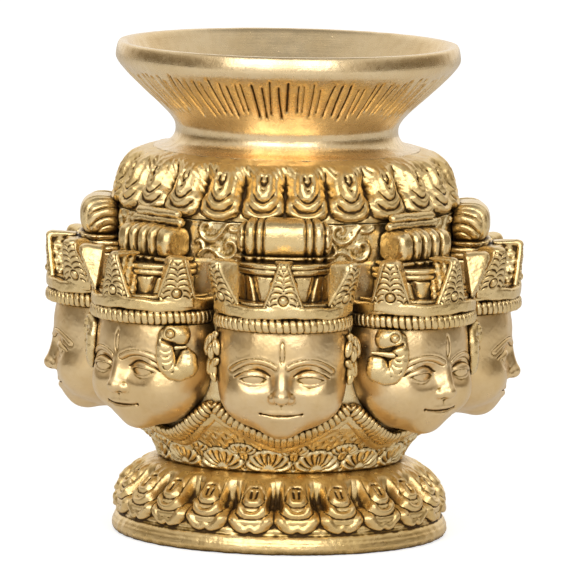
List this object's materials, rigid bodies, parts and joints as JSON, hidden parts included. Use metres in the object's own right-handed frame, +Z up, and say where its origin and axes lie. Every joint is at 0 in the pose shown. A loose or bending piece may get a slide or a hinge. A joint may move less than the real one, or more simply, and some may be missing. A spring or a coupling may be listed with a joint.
{
  "type": "brass kalash pot",
  "caption": "Footed brass puja pot with a flared mouth, petalled shoulder and foot, and a ring of crowned masks, used to hold water or offerings.",
  "frame": {"origin": "on the pot's axis, in the plane that the foot rests on", "axes": "+Z up along the pot's axis; -Y points out of the front mask, and +X is to the right of a viewer facing it"},
  "size_m": [0.1234, 0.1234, 0.127],
  "materials": {
    "polished_brass": "turned and buffed",
    "carved_brass": "cast relief with dark patina in the recesses"
  },
  "bodies": {
    "root": {"mouth_and_neck": "polished_brass", "shoulder_dome": "carved_brass", "belly_bowl": "carved_brass", "lotus_foot": "carved_brass", "mask_1": "polished_brass", "crown_1": "carved_brass", "topknot_1": "carved_brass", "garland_1": "carved_brass", "ear_drop_left_1": "carved_brass", "ear_drop_right_1": "carved_brass", "mask_2": "polished_brass", "crown_2": "carved_brass", "topknot_2": "carved_brass", "garland_2": "carved_brass", "elephant_left_2": "carved_brass", "elephant_right_2": "carved_brass", "mask_3": "polished_brass", "crown_3": "carved_brass", "topknot_3": "carved_brass", "garland_3": "carved_brass", "ear_drop_left_3": "carved_brass", "ear_drop_right_3": "carved_brass", "mask_4": "polished_brass", "crown_4": "carved_brass", "topknot_4": "carved_brass", "garland_4": "carved_brass", "elephant_left_4": "carved_brass", "elephant_right_4": "carved_brass", "mask_5": "polished_brass", "crown_5": "carved_brass", "topknot_5": "carved_brass", "garland_5": "carved_brass", "ear_drop_left_5": "carved_brass", "ear_drop_right_5": "carved_brass", "mask_6": "polished_brass", "crown_6": "carved_brass", "topknot_6": "carved_brass", "garland_6": "carved_brass", "elephant_left_6": "carved_brass", "elephant_right_6": "carved_brass", "mask_7": "polished_brass", "crown_7": "carved_brass", "topknot_7": "carved_brass", "garland_7": "carved_brass", "ear_drop_left_7": "carved_brass", "ear_drop_right_7": "carved_brass", "mask_8": "polished_brass", "crown_8": "carved_brass", "topknot_8": "carved_brass", "garland_8": "carved_brass", "elephant_left_8": "carved_brass", "elephant_right_8": "carved_brass"}
  },
  "joints": []
}
